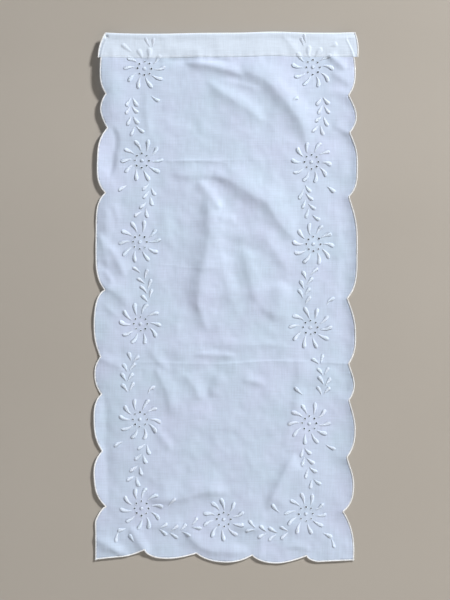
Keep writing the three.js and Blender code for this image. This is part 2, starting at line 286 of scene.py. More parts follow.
# How far the stitched side edges curl towards the viewer, at places along them, and how wide and
# steep that curl is.
CURL_WIDTH = 9
CURL_STEEPNESS = 1.3
LEFT_CURL = [
    (-47, -0.4), (-91, -0.9), (-115, -1.7), (-155, -1.6), (-175, -0.4), (-190, 1), (-225, 1.4), (-262, 1),
    (-284, -0.6), (-310, -1.5), (-355, -1.2), (-392, -0.9), (-415, 0.8), (-440, 0.9), (-470, 0.3),
    (-535, 0), (-565, -1), (-607, -1.5), (-630, -0.4), (-642, 0.9), (-712, 1.2), (-735, 1.0),
    (-800, 1.1), (-826, 0.4), (-870, -0.3), (-914, 0),
]
RIGHT_CURL = [
    (-47, 0), (-95, 0.9), (-115, 3), (-170, 3.4), (-222, 3.2), (-292, 3), (-397, 3.4), (-467, 3.2),
    (-537, 3), (-607, 3.2), (-695, 3.2), (-782, 2.8), (-835, 2), (-887, 1.1), (-922, 0.5),
]

# The edges curl, and the cloth crumples freely, only where it hangs loose below the casing.
CURL_START = 46
CURL_FULL = 75

# Gentle crumpling: how much of it the casing has, how many waves there are of each length, how much
# each wave's length varies, how far and at what share of its pace it swings to its sides, and the
# lengths with their heights.
CASING_CRUMPLE = 0.4
CRUMPLE_WAVES = 5
CRUMPLE_LENGTHS = (0.8, 1.25)
CRUMPLE_SWING = 1.3
CRUMPLE_SWING_PACE = 0.45
CRUMPLE = [(96, 0.27), (61, 0.19), (38, 0.14), (24, 0.085), (14, 0.045)]

# The path of a stitched shape, with its half width at each point. Closed, it ends where it starts.
Path = namedtuple("Path", "points half_widths closed")

# Shares along a teardrop, from its thin end to its round end, and its width at each.
TEARDROP_SHARES = np.array([0, 0.12, 0.26, 0.4, 0.54, 0.67, 0.78, 0.87, 0.94, 0.98, 1])
TEARDROP_WIDTHS = np.array([0.2, 0.34, 0.5, 0.66, 0.82, 0.95, 1.0, 0.92, 0.72, 0.47, 0.16])

# Stitched motifs. A daisy has its middle, the turn of its first petal and the way its petals swirl.
Daisy = namedtuple("Daisy", "middle turn swirl")
DAISIES = [
    Daisy((-142, -62), 6, 1),
    Daisy((-146.5, -224), 4, 1),
    Daisy((-150, -366), 8, 1),
    Daisy((-149, -509), -5, -1),
    Daisy((-150, -675.5), -6.5, -1),
    Daisy((-147, -831), 4, -1),
    Daisy((-3.5, -850.5), -13.5, 1),
    Daisy((152, -61), -6, -1),
    Daisy((149.5, -226.5), -6, -1),
    Daisy((153, -369.5), -7.5, -1),
    Daisy((148, -515.5), 2, 1),
    Daisy((146, -683), 4.5, 1),
    Daisy((140, -840.5), -3, 1),
]
# Petals start and end at these distances from the middle. Their turn and their lean are in degrees.
PETALS = 10
PETAL_START = 18.2
PETAL_END = 36.6
PETAL_LEAN = 10.5
PETAL_WIDTH = 6.7
EYELETS = 8
EYELET_RING = 12.3
EYELET_HOLE = 1.5
EYELET_RIM = 2.7
HOLE_SIDES = 12
RIM_MARGIN = 0.05
RIM_POINTS = 10
DOT_RADIUS = 2.9
# How uneven the handwork on the daisies is.
PETAL_PLACE_SPREAD = 0.07
PETAL_LEAN_SPREAD = 2.5
PETAL_END_SPREAD = 0.7
PETAL_START_SPREAD = 0.5
PETAL_WIDTH_SHARES = (0.9, 1.08)
PETAL_BOWS = (0.05, 0.13)
EYELET_SPREAD = 0.4
EYELET_HOLE_SHARES = (0.82, 1.15)

# A spray has a bent stem, from its root to its tip, and the number of leaves on its left and right
# as it grows. Four leaves stand at the ends of equal steps of the stem, three at the steps' middles,
# all at an angle to it, in degrees.
Spray = namedtuple("Spray", "root bend tip left right")
SPRAYS = [
    Spray((-164, -115), (-165, -139), (-158, -165), 4, 4),
    Spray((-133, -265), (-134, -288), (-147, -316), 3, 4),
    Spray((-135, -470), (-138, -446), (-148, -419), 4, 3),
    Spray((-170, -627), (-172, -600), (-163, -572), 4, 4),
    Spray((-139, -720), (-149, -748), (-158, -776), 4, 4),
    Spray((-115, -866), (-87, -872), (-58, -861), 4, 4),
    Spray((108, -872), (80, -875), (50, -866), 4, 4),
    Spray((168, -113), (170, -138), (163, -164), 4, 4),
    Spray((137, -267), (140, -291), (150, -320), 4, 3),
    Spray((137, -474), (138, -448), (147, -421), 3, 4),
    Spray((169, -633), (172, -606), (164, -578), 4, 4),
    Spray((136, -725), (142, -752), (152, -781), 4, 4),
]
STEM_STEPS = 3
LEAF_LENGTH = 15.8
LEAF_WIDTH = 6.0
LEAF_ANGLE = 34
LEAF_OFFSET = 2.1
# How uneven the handwork on the leaves is.
LEAF_PLACE_SPREAD = 0.1
LEAF_ANGLE_SPREAD = 4
LEAF_LENGTH_SPREAD = 0.9
LEAF_WIDTH_SHARES = (0.9, 1.1)
LEAF_BOWS = (0.0, 0.07)
FLAP_LEAF_WIDTH_SHARES = (0.85, 1.0)

# Single leaves beside the sprays: each from its thin end to its round end, then how far its middle
# swings to the left, as a share of its length.
SINGLE_LEAVES = [
    ((-129, -112), (-115.5, -120.5), -0.06),
    ((-174, -267.5), (-187.5, -276), 0.03),
    ((-135.2, -630.5), (-123, -619.5), 0.2),
    ((-180, -715), (-195, -723), -0.05),
    ((-100, -827), (-87, -813.5), 0.05),
    ((-175, -866.5), (-189, -869.5), 0.06),
    ((-187.5, -872.5), (-192, -890), -0.05),
    ((-160.5, -889), (-168, -876), 0.04),
    ((-165.5, -32.5), (-181.5, -20), 0),
    ((116.5, -119), (126.5, -114.5), 0.04),
    ((177, -269), (190, -280), 0.02),
    ((177, -476), (190, -465), 0.2),
    ((134, -632.5), (120, -619), 0.04),
    ((175, -720), (191.5, -728), -0.05),
    ((92.5, -837.5), (81, -823), 0.08),
    ((170.5, -874.5), (185, -882), 0.03),
    ((184.5, -885), (189, -900), 0.05),
    ((182.5, -24.5), (194, -20.5), 0),
]
# Leaves on the flap itself, seen from the back of the cloth, in the same form.
FLAP_LEAVES = [
    ((-133.5, -22.5), (-141, -8), 0),
    ((-128, -23), (-126.5, -8), 0.03),
    ((139.5, -17.5), (136.5, -3.5), 0),
    ((135.5, -23), (130, -9), 0.03),
]
# A small dent near the left end of the fold: its place, depth and radius.
DENT = ((-208.5, -7), 2.2, 2.8)

# How each kind of stitch is laid: the spacing and width of its threads, how high they stand, the
# share of the path's half width added to that, the slant in radians and how uneven the work is.
PETAL_STITCH = {
    "Pitch": 0.46, "Thread": 0.5, "Loft": 0.3, "Loft Share": 0.21, "Slant": 0.25, "Unevenness": 0.05,
}
DOT_STITCH = {**PETAL_STITCH, "Loft": 0.35, "Loft Share": 0.2, "Slant": 0.0}
LEAF_STITCH = {**PETAL_STITCH, "Pitch": 0.48, "Thread": 0.52, "Slant": -0.25}
FLAP_LEAF_STITCH = {**LEAF_STITCH, "Loft": 0.2, "Loft Share": 0.1}
PLAIN_STITCH = {"Loft Share": 0.0, "Slant": 0.0, "Unevenness": 0.05}
RIM_STITCH = {**PLAIN_STITCH, "Pitch": 0.78, "Thread": 0.7, "Loft": 0.5, "Unevenness": 0.1}
EDGING_STITCH = {**PLAIN_STITCH, "Pitch": 0.95, "Thread": 1.0, "Loft": 0.62, "Slant": 0.12}
SEAM_STITCH = {**PLAIN_STITCH, "Pitch": 2.7, "Thread": 0.34, "Loft": 0.14, "Slant": 1.571}

# How far an arched stitch is lifted off the middle of the cloth, the width of the corded edging, how
# far that and the eyelets' rims reach past the cut edge, and the seam's half width, spacing and ends.
STITCH_LIFT = 0.1
EDGING_WIDTH = 2.4
EDGING_OVERLAP = 0.25
RIM_OVERLAP = 0.15
SEAM_HALF_WIDTH = 1.15
SEAM_GRID = 4.0
SEAM_INSET = 3
# How full the arch of a stitch is, where 1 is round, and how much of its unevenness goes into its
# slant.
ARCH_FULLNESS = 0.45
SLANT_UNEVENNESS = 0.35

# The padding under the stitches: its share of their width, and the shares to which its round section
# is flattened above and below the middle of the cloth.
PADDING_SIDES = 8
PETAL_PADDING = {"Width Share": 0.9, "Above": 0.32, "Below": 0.16}
DOT_PADDING = {**PETAL_PADDING, "Width Share": 0.85}
FLAP_LEAF_PADDING = {**PETAL_PADDING, "Above": 0.2}


# Small helpers for places and shapes.


def smoothstep(value, low, high):
    t = np.clip((value - low) / (high - low), 0, 1)
    return t * t * (3 - 2 * t)


def mix(a, b, share):
    return a + (b - a) * share


def bell(distance, spread):
    """1 at no distance, falling away smoothly on both sides."""
    return np.exp(-((distance / spread) ** 2))


def distances_to(place, points):
    return np.hypot(*(points - place).T)


def distances_along(line):
    """How far along a line each of its points lies."""
    return np.concatenate([[0], np.cumsum(np.hypot(*np.diff(line, axis=0).T))])


def unit(ways):
    """Rows of ways, each made one long."""
    return ways / np.hypot(*ways.T)[:, None]


def left_of(way):
    """A quarter turn to the left of one way or several."""
    return np.stack([-way[..., 1], way[..., 0]], axis=-1)


def turned(angle):
    """The unit vectors at one angle or several."""
    return np.stack([np.cos(angle), np.sin(angle)], axis=-1)


def row_at(along, across):
    """Points of the flat cloth in one row."""
    return np.column_stack([across, np.full(across.shape, along)])


def near_line(points, line, reach):
    """Which points lie in the box round a line, with a margin."""
    return ((points > line.min(axis=0) - reach) & (points < line.max(axis=0) + reach)).all(axis=1)


def smooth_line(points):
    """Closely spaced points of a smooth line through points."""
    given = np.array(points, float)
    longer = np.vstack([2 * given[0] - given[1], given, 2 * given[-1] - given[-2]])
    t = np.linspace(0, 1, 5)[:-1, None]
    rows = []
    for a, b, c, d in zip(longer, longer[1:], longer[2:], longer[3:]):
        curved = (a - 2.5 * b + 2 * c - d / 2) * t**2
        rows.append(b + (c - a) * t / 2 + curved + (3 * b - a - 3 * c + d) * t**3 / 2)
    return np.vstack([*rows, given[-1:]])


def beside_line(points, line):
    """How far points are from a line, on which side of it, and the share of its length they are at."""
    nearest = np.full(len(points), np.inf)
    on_left = np.zeros(len(points), bool)
    share = np.zeros(len(points))
    steps = np.diff(line, axis=0)
    gone = distances_along(line)
    for start, step, length, before in zip(line, steps, np.hypot(*steps.T), gone):
        along = ((points - start) @ step / length**2).clip(0, 1)
        off = points - start - along[:, None] * step
        distance = np.hypot(*off.T)
        closer = distance < nearest
        nearest[closer] = distance[closer]
        on_left[closer] = (step[0] * off[:, 1] - step[1] * off[:, 0] > 0)[closer]
        share[closer] = ((before + along * length) / gone[-1])[closer]
    return nearest, on_left, share


# The cloth's edges and its side view.


def arch(share, notch):
    """How far out a scallop is at a share of its length."""
    centred = 2 * share ** (math.log(0.5) / math.log(notch.peak)) - 1
    return notch.bulge * (1 - np.abs(centred) ** notch.fullness)


def edge_at(notches, side, places):
    """Where an edge lies at places along it; side is the direction in which its scallops bulge."""
    places = np.asarray(places, float)
    found = np.full(places.shape, float(notches[0].across))
    for first, last in zip(notches, notches[1:]):
        share = (places - first.place) / (last.place - first.place)
        inside = share.clip(0, 1)
        here = mix(first.across, last.across, inside) + side * arch(inside, first)
        found = np.where(share >= 0, here, found)
    return found


def edge_places(notches):
    """Places along an edge, closer together towards its notches."""
    places = []
    for first, last in zip(notches, notches[1:]):
        span = last.place - first.place
        steps = max(3, round(abs(span) * math.pi / 2 / EDGE_GRID))
        share = (1 - np.cos(np.arange(steps) * math.pi / steps)) / 2
        places.extend(first.place + span * share)
    return np.array([*places, notches[-1].place])


def cloth_run():
    """The cloth seen from the side, as rows of along, y and z, and where each part of it ends.

    The parts are the panel below the casing, the panel behind it, the fold, the flap with the first
    half of its hem, and the second half with the raw edge.
    """
    step = [[PANEL_BELOW, FLAP_BOTTOM - STEP_UNDER], [PANEL, FLAP_BOTTOM + STEP_OVER]]
    below = [[PANEL_BELOW, RUN_FOOT], *step]
    share = np.linspace(0, 1, CASING_STEPS + 1)
    depth = mix(PANEL, -FLAP, smoothstep(share, 0, 1))
    depth = depth + CASING_BULGE * np.sin(math.pi * share) ** BULGE_STEEPNESS
    behind = np.column_stack([depth, mix(-SEAM_DROP, -FOLD_HEIGHT, share)])
    turn = np.linspace(0, math.pi, FOLD_STEPS + 1)[1:]
    fold = np.column_stack([-FLAP * np.cos(turn), FOLD_HEIGHT * (np.sin(turn) - 1)])
    turn = np.linspace(0, math.pi, HEM_STEPS + 1)
    hem_y = FLAP + LAYER / 2 * (1 - np.cos(turn))
    hem = np.column_stack([hem_y, FLAP_BOTTOM - LAYER / 2 * np.sin(turn)])
    half = HEM_STEPS // 2 + 1
    parts = [below, behind, fold, hem[:half], [*hem[half:], [FLAP + LAYER, FLAP_BOTTOM + TURNED_UNDER]]]
    yz = np.vstack(parts)
    along = distances_along(yz) + RUN_FOOT
    return np.column_stack([along, yz]), along[np.cumsum([len(part) for part in parts]) - 1]


RUN, (_, FOLD_START, FOLD_END, FLAP_END, RUN_END) = cloth_run()
FOLD_MIDDLE = (FOLD_START + FOLD_END) / 2
TANGENTS = unit(np.gradient(RUN[:, 1:], RUN[:, 0], axis=0))


def side_limits(along):
    """The cloth's left and right edges at places along it."""
    on_flap = along > FOLD_MIDDLE
    z = np.minimum(np.interp(along, RUN[:, 0], RUN[:, 2]) + CLOTH / 2, 0)
    left = np.where(on_flap, edge_at(FLAP_LEFT, -1, z), edge_at(LEFT_EDGE, -1, z))
    right = np.where(on_flap, edge_at(FLAP_RIGHT, 1, z), edge_at(RIGHT_EDGE, 1, z))
    return left, right


# The paths that the stitches follow on the flat cloth.


def teardrop(thin, fat, width, bow):
    """The path of a padded petal or leaf: bow is how far its middle swings to the left."""
    thin, fat = np.array(thin, float), np.array(fat, float)
    share = TEARDROP_SHARES[:, None]
    points = thin + share * (fat - thin) + 4 * share * (1 - share) * bow * left_of(fat - thin)
    return Path(points, TEARDROP_WIDTHS * width / 2, False)


def petal_paths():
    paths = []
    for daisy in DAISIES:
        middle = np.array(daisy.middle)
        for i in range(PETALS):
            place = i + rng.normal(0, PETAL_PLACE_SPREAD)
            turn = math.radians(daisy.turn) + place * 2 * math.pi / PETALS
            lean = daisy.swirl * math.radians(PETAL_LEAN + rng.normal(0, PETAL_LEAN_SPREAD))
            fat = middle + (PETAL_END + rng.normal(0, PETAL_END_SPREAD)) * turned(turn)
            thin = middle + (PETAL_START + rng.normal(0, PETAL_START_SPREAD)) * turned(turn - lean)
            width = PETAL_WIDTH * rng.uniform(*PETAL_WIDTH_SHARES)
            paths.append(teardrop(thin, fat, width, -daisy.swirl * rng.uniform(*PETAL_BOWS)))
    return paths


def stem_at(spray, share):
    """A place on a spray's stem and the way it grows there."""
    root, bend, tip = (np.array(place, float) for place in (spray.root, spray.bend, spray.tip))
    control = 2 * bend - (root + tip) / 2
    place = (1 - share) ** 2 * root + 2 * share * (1 - share) * control + share**2 * tip
    way = 2 * (1 - share) * (control - root) + 2 * share * (tip - control) + tip - root
    return place, way / math.hypot(*way)


def leaf_paths():
    paths = []
    for spray in SPRAYS:
        for side, count in ((1, spray.left), (-1, spray.right)):
            shift = 0.5 if count == STEM_STEPS else 0.0
            for i in range(count):
                share = (i + shift + rng.uniform(-LEAF_PLACE_SPREAD, LEAF_PLACE_SPREAD)) / STEM_STEPS
                place, way = stem_at(spray, min(max(share, 0), 1))
                beside = side * left_of(way)
                angle = math.radians(LEAF_ANGLE + rng.normal(0, LEAF_ANGLE_SPREAD))
                length = LEAF_LENGTH + rng.normal(0, LEAF_LENGTH_SPREAD)
                thin = place + beside * LEAF_OFFSET
                fat = thin + length * (math.cos(angle) * way + math.sin(angle) * beside)
                width = LEAF_WIDTH * rng.uniform(*LEAF_WIDTH_SHARES)
                paths.append(teardrop(thin, fat, width, -side * rng.uniform(*LEAF_BOWS)))
    for thin, fat, bow in SINGLE_LEAVES:
        paths.append(teardrop(thin, fat, LEAF_WIDTH * rng.uniform(*LEAF_WIDTH_SHARES), bow))
    return paths


def flap_leaf_paths():
    """The leaves on the flap, from their places below the fold."""
    paths = []
    for thin, fat, bow in FLAP_LEAVES:
        ends = [(x, FOLD_END - FOLD_HEIGHT - z) for x, z in (thin, fat)]
        paths.append(teardrop(*ends, LEAF_WIDTH * rng.uniform(*FLAP_LEAF_WIDTH_SHARES), bow))
    return paths


PETAL_PATHS = petal_paths()
LEAF_PATHS = leaf_paths()
FLAP_LEAF_PATHS = flap_leaf_paths()


def dot_paths():
    """A short straight path across each daisy's middle, as wide as a disc there."""
    swing = 2 * np.linspace(0, 1, 9) - 1
    width = DOT_RADIUS * np.sqrt(np.clip(1 - swing**2, 0.02, 1))
    paths = []
    for daisy in DAISIES:
        way = turned(rng.uniform(0, math.pi))
        paths.append(Path(np.array(daisy.middle) + swing[:, None] * DOT_RADIUS * way, width, False))
    return paths


def worked_eyelets():
    """The middle and the hole's radius of every eyelet: a ring of them in each daisy."""
    ring = EYELET_RING * turned(np.arange(EYELETS) * 2 * math.pi / EYELETS)
    uneven = np.random.default_rng(5)
    spread = [uneven.normal(0, EYELET_SPREAD, ring.shape) for _ in DAISIES]
    middles = np.vstack([np.array(daisy.middle) + ring + off for daisy, off in zip(DAISIES, spread)])
    return list(zip(middles, EYELET_HOLE * uneven.uniform(*EYELET_HOLE_SHARES, len(middles))))


def rim_paths():
    """A ring of stitches over the cut edge of every eyelet."""
    spokes = turned(np.arange(RIM_POINTS) * 2 * math.pi / RIM_POINTS)
    half = (EYELET_RIM - EYELET_HOLE) / 2 + RIM_MARGIN
    widths = np.full(RIM_POINTS, half)
    reach = half - RIM_OVERLAP
    return [Path(middle + (hole + reach) * spokes, widths, True) for middle, hole in worked_eyelets()]


def edging_paths():
    """The middle of the corded edging, just inside the cloth's outline."""
    outline = outline_to(FLAP_END)
    half = EDGING_WIDTH / 2
    inward = left_of(unit(np.gradient(outline, axis=0)))
    return [Path(outline + inward * (half - EDGING_OVERLAP), np.full(len(outline), half), False)]


def seam_paths(along):
    left, right = side_limits(np.array([along]))
    across = np.arange(left[0] + SEAM_INSET, right[0] - SEAM_INSET, SEAM_GRID)
    return [Path(row_at(along, across), np.full(across.shape, SEAM_HALF_WIDTH), False)]


def covered_paths():
    """The stitched shapes and the panel's corded edges that lie under the flap."""
    shapes = [path for path in (*PETAL_PATHS, *LEAF_PATHS) if path.points[:, 1].max() > COVER_START[0]]
    z = np.linspace(-FOLD_RADIUS, FLAP_BOTTOM - 2, 30)
    for notches, side in SIDE_EDGES:
        cord = edge_at(notches, side, z) - side * EDGING_WIDTH / 2
        shapes.append(Path(np.column_stack([cord, z]), np.full(z.shape, EDGING_WIDTH / 3), False))
    return shapes


COVERED_PATHS = covered_paths()


# How the cloth hangs. Relief is how far its face stands out from the plane in which it hangs.


def fold_relief(points, fold, sharp):
    """How far a fold or crease makes the cloth stand out at points."""
    line = smooth_line(fold.points)
    near = near_line(points, line, FOLD_REACH * max(fold.right, fold.left))
    distance, on_left, share = beside_line(points[near], line)
    ends = smoothstep(share, 0, FOLD_TAPER) * smoothstep(1 - share, 0, FOLD_TAPER)
    distance = distance / (np.where(on_left, fold.left, fold.right) * mix(END_WIDTH, 1, ends))
    steepness = 1 if sharp else np.where(on_left, LEFT_STEEPNESS, RIGHT_STEEPNESS)
    relief = np.zeros(len(points))
    relief[near] = fold.rise * ends**0.7 * np.exp(-(distance**steepness))
    return relief


def edge_curl(points):
    """How far the side edges curl towards the viewer."""
    x, z = points.T
    total = np.zeros(len(points))
    for (notches, side), curl in zip(SIDE_EDGES, (LEFT_CURL, RIGHT_CURL)):
        place, rise = np.array(curl[::-1], float).T
        inward = np.maximum(side * (edge_at(notches, side, np.minimum(z, 0)) - x), 0)
        total += np.interp(z, place, rise) * np.exp(-((inward / CURL_WIDTH) ** CURL_STEEPNESS))
    return total


def crumple(points):
    """Low waves in several directions that never quite repeat."""
    waves = np.random.default_rng(23)
    total = np.zeros(len(points))
    for length, height in CRUMPLE:
        for _ in range(CRUMPLE_WAVES):
            way = turned(waves.uniform(0, math.pi))
            phase = waves.uniform(0, 2 * math.pi)
            pace = 2 * math.pi / (length * waves.uniform(*CRUMPLE_LENGTHS))
            beside = pace * CRUMPLE_SWING_PACE * (points @ left_of(way))
            swing = CRUMPLE_SWING * np.sin(beside + phase)
            total += height / 2 * np.sin(pace * (points @ way) + phase + swing)
    return total


def seam_pucker(points):
    """Small gathers where the seam draws the cloth in."""
    x, z = points.T
    fine = FINE_GATHER * np.sin(x / FINE_PACE + WANDER * np.sin(x / WANDER_PACE))
    broad = BROAD_GATHER * np.sin(x / BROAD_PACE + 1.1)
    return bell(z + SEAM_DROP + GATHER_DROP, SEAM_SPREAD) * (fine + broad)


def relief(points):
    """The panel's folds, creases, crumpling and curled edges."""
    below = -points[:, 1]
    loose = smoothstep(below, CURL_START, CURL_FULL)
    total = edge_curl(points) * loose + crumple(points) * mix(CASING_CRUMPLE, 1, loose)
    for fold in FOLDS:
        total += fold_relief(points, fold, False)
    for crease in CREASES:
        total += fold_relief(points, crease, True)
    return total * smoothstep(below, FOLD_RADIUS, 3 * FOLD_RADIUS)


def top_line(x):
    """How far the fold bows up or down from a straight line."""
    return sum(rise * (bell(x - place, spread) - bell(place, spread)) for place, rise, spread in TOP_LINE)


def show_through(points):
    """How far what lies under the flap makes it stand out."""
    x, z = points.T
    total = np.zeros(len(points))
    for path in COVERED_PATHS:
        near = near_line(points, path.points, SHOWN_REACH)
        distance, _, share = beside_line(points[near], path.points)
        gone = distances_along(path.points)
        half = np.interp(share, gone / gone[-1], path.half_widths)
        flat_top = np.exp(-((distance / (half + SHOWN_MARGIN)) ** SHOWN_STEEPNESS))
        rise = np.minimum(half / SHOWN_HALF_WIDTH, 1) * flat_top
        total[near] = np.maximum(total[near], SHOWN_THROUGH * rise)
    past = np.maximum(edge_at(LEFT_EDGE, -1, z) - x, x - edge_at(RIGHT_EDGE, 1, z))
    total -= FALL_BACK * smoothstep(past, *FALL_BACK_START)
    total *= smoothstep(-z, *SHOWN_START)
    place, depth, radius = DENT
    return total - depth * bell(distances_to(place, points), radius)


def hang(flat):
    """The place on the hanging panel, in millimetres, of each point (across, along, lift)."""
    x, along, lift = flat.T
    y, z, ty, tz = (np.interp(along, RUN[:, 0], column) for column in (*RUN[:, 1:].T, *TANGENTS.T))
    points = np.column_stack([x, z])
    on_flap = along > FOLD_MIDDLE
    sewn = bell(z + SEAM_DROP + 2, SEAM_SPREAD)
    out = seam_pucker(points) + relief(points) * np.where(on_flap | (along < FLAP_BOTTOM), 1, sewn)
    out[on_flap] += show_through(points[on_flap])
    covered = smoothstep(along, *COVER_START)
    covered *= 1 - smoothstep(along, FOLD_MIDDLE, FOLD_END)
    lift = lift * mix(1, PRESSED_SHARE, covered)
    left, right = side_limits(along)
    open_share = smoothstep(np.minimum(x - left, right - x), MOUTH_START, MOUTH_REACH)
    y = np.where(y > PANEL, PANEL + (y - PANEL) * mix(MOUTH_DEPTH, 1, open_share), y)
    bow = top_line(x) * (1 - smoothstep(-z, SEAM_DROP, TOP_LINE_REACH))
    return np.column_stack([x, y - tz * lift - out, z + ty * lift + bow])


def hang_mesh(mesh):
    """Moves a mesh from the flat cloth's places to the hanging panel's, in metres."""
    flat = np.empty(len(mesh.vertices) * 3, np.float32)
    mesh.vertices.foreach_get("co", flat)
    placed = hang(flat.reshape(-1, 3).astype(float)) * MM
    mesh.vertices.foreach_set("co", placed.astype(np.float32).ravel())
    mesh.update()


def new_object(name, data):
    made = bpy.data.objects.new(name, data)
    bpy.context.scene.collection.objects.link(made)
    return made


def new_mesh(name, points, edges, faces):
    mesh = bpy.data.meshes.new(name)
    mesh.from_pydata(points, edges, faces)
    return mesh


def add_values(mesh, name, values):
    """Gives each of a mesh's points a value of its own."""
    attribute = mesh.attributes.new(name, "FLOAT", "POINT")
    attribute.data.foreach_set("value", np.array(values, np.float32))


# Node helpers, for shader and geometry trees alike.


def fill(tree, node, inputs):
    """Joins each input, by name or number, to another node's output, or writes the value into it."""
    for key, value in inputs.items():
        if isinstance(value, bpy.types.NodeSocket):
            tree.links.new(value, node.inputs[key])
        else:
            node.inputs[key].default_value = value


def put(tree, kind, inputs=None, **properties):
    """A new node with its properties and inputs."""
    node = tree.nodes.new(kind)
    for name, value in properties.items():
        setattr(node, name, value)
    fill(tree, node, inputs or {})
    return node


def result(tree, kind, inputs=None, **properties):
    """The first output of a new node."""
    return put(tree, kind, inputs, **properties).outputs[0]


def maths(tree, operation, first, second=0.0, third=0.0):
    return result(tree, "ShaderNodeMath", {0: first, 1: second, 2: third}, operation=operation)


def noise(tree, place, scale, detail):
    return result(tree, "ShaderNodeTexNoise", {"Vector": place, "Scale": scale, "Detail": detail})


def stored(tree, name):
    """A value that the mesh carries."""
    return put(tree, "ShaderNodeAttribute", attribute_name=name).outputs["Fac"]


def mixed_colour(tree, share, first, second, blend="MIX"):
    inputs = {0: share, 6: first, 7: second}
    return put(tree, "ShaderNodeMix", inputs, data_type="RGBA", blend_type=blend).outputs[2]


def new_tree(name, kind, inputs, outputs):
    """A tree with named inputs and outputs, given as name to kind, what it is given and its last node."""
    tree = bpy.data.node_groups.new(name, kind)
    for in_out, sockets in (("INPUT", inputs), ("OUTPUT", outputs)):
        for label, socket in sockets.items():
            tree.interface.new_socket(name=label, in_out=in_out, socket_type="NodeSocket" + socket)
    given = tree.nodes.new("NodeGroupInput").outputs
    return tree, given, tree.nodes.new("NodeGroupOutput")


def use_group(tree, group, inputs):
    return put(tree, "ShaderNodeGroup", inputs, node_tree=group).outputs


# Shader groups and materials.


def weave_group():
    """Plain weave with slubs: the height of its threads and how much lighter or darker they are."""
    inputs = {"Place": "Vector", "Threads": "Float", "Slubs": "Float"}
    outputs = {"Height": "Float", "Shade": "Float"}
    tree, given, last = new_tree("plain_weave", "ShaderNodeTree", inputs, outputs)
    parts = put(tree, "ShaderNodeSeparateXYZ", {0: given["Place"]}).outputs
    turns = maths(tree, "MULTIPLY", given["Threads"], math.pi)
    warp, weft = (maths(tree, "SINE", maths(tree, "MULTIPLY", parts[way], turns)) for way in "XY")
    crossing = maths(tree, "MULTIPLY", warp, weft)

    def slubs(scale):
        stretched = result(tree, "ShaderNodeMapping", {"Vector": given["Place"], "Scale": scale})
        return maths(tree, "SUBTRACT", noise(tree, stretched, scale=1.0, detail=2.0), 0.5)

    long_slubs = maths(tree, "ADD", slubs((0.55, 0.028, 1)), slubs((0.03, 0.6, 1)))
    streaks = maths(tree, "MULTIPLY", long_slubs, given["Slubs"])
    height = maths(tree, "MULTIPLY_ADD", crossing, 0.35, streaks)
    fill(tree, last, {"Height": height, "Shade": streaks})
    return tree


def tint_group():
    """Broad soft patches between two near colours."""
    inputs = {"Place": "Vector", "Size": "Float", "Cool": "Color", "Warm": "Color"}
    outputs = {"Color": "Color", "Patch": "Float"}
    tree, given, last = new_tree("soft_tint", "ShaderNodeTree", inputs, outputs)
    scale = maths(tree, "DIVIDE", 1.0, given["Size"])
    soft = noise(tree, given["Place"], scale, detail=2.5)
    patch = result(tree, "ShaderNodeMapRange", {0: soft, 1: 0.32, 2: 0.68})
    colour = mixed_colour(tree, patch, given["Cool"], given["Warm"])
    fill(tree, last, {"Color": colour, "Patch": patch})
    return tree


def twist_group():
    """Fine twist along a laid thread, from its own across and beside coordinates."""
    outputs = {"Height": "Float", "Shade": "Float"}
    tree, given, last = new_tree("thread_twist", "ShaderNodeTree", {"Turns": "Float"}, outputs)
    turns = maths(tree, "MULTIPLY_ADD", stored(tree, "across"), given["Turns"], stored(tree, "beside"))
    ridges = maths(tree, "SINE", maths(tree, "MULTIPLY", turns, 2 * math.pi))
    shade = maths(tree, "SUBTRACT", stored(tree, "own_shade"), 0.5)
    fill(tree, last, {"Height": ridges, "Shade": shade})
    return tree


WEAVE = weave_group()
TINT = tint_group()
TWIST = twist_group()

# Colours of one layer of cotton, of two, and of the painted highlight just before the fold's end.
SINGLE_COOL = (0.562, 0.682, 0.842, 1)
SINGLE_WARM = (0.597, 0.674, 0.872, 1)
DOUBLED = (0.668, 0.766, 0.905, 1)
PAINTED_FOLD_HIGHLIGHT = (0.90, 0.93, 0.97, 1)
# Where the painted highlight along the fold's top is brightest, back from its end, and its spread.
FOLD_HIGHLIGHT_BACK = 2.8
FOLD_HIGHLIGHT_SPREAD = 1.1
COTTON_ROUGHNESS = 0.88


def new_material(name, roughness, sheen):
    material = bpy.data.materials.new(name)
    material.use_nodes = True
    tree = material.node_tree
    shader = tree.nodes["Principled BSDF"]
    surface = {"Roughness": roughness, "Sheen Weight": sheen, "Sheen Roughness": 0.4}
    fill(tree, shader, {**surface, "Specular IOR Level": 0.3})
    return material, tree, shader


def shaded(tree, colour, shade, depth):
    """A colour made lighter or darker by a shade around 0."""
    factor = maths(tree, "MULTIPLY_ADD", shade, depth, 1.0)
    grey = result(tree, "ShaderNodeCombineColor", {0: factor, 1: factor, 2: factor})
    return mixed_colour(tree, 1.0, colour, grey, "MULTIPLY")


def bumped(tree, height, strength, distance):
    return result(tree, "ShaderNodeBump", {"Height": height, "Strength": strength, "Distance": distance})


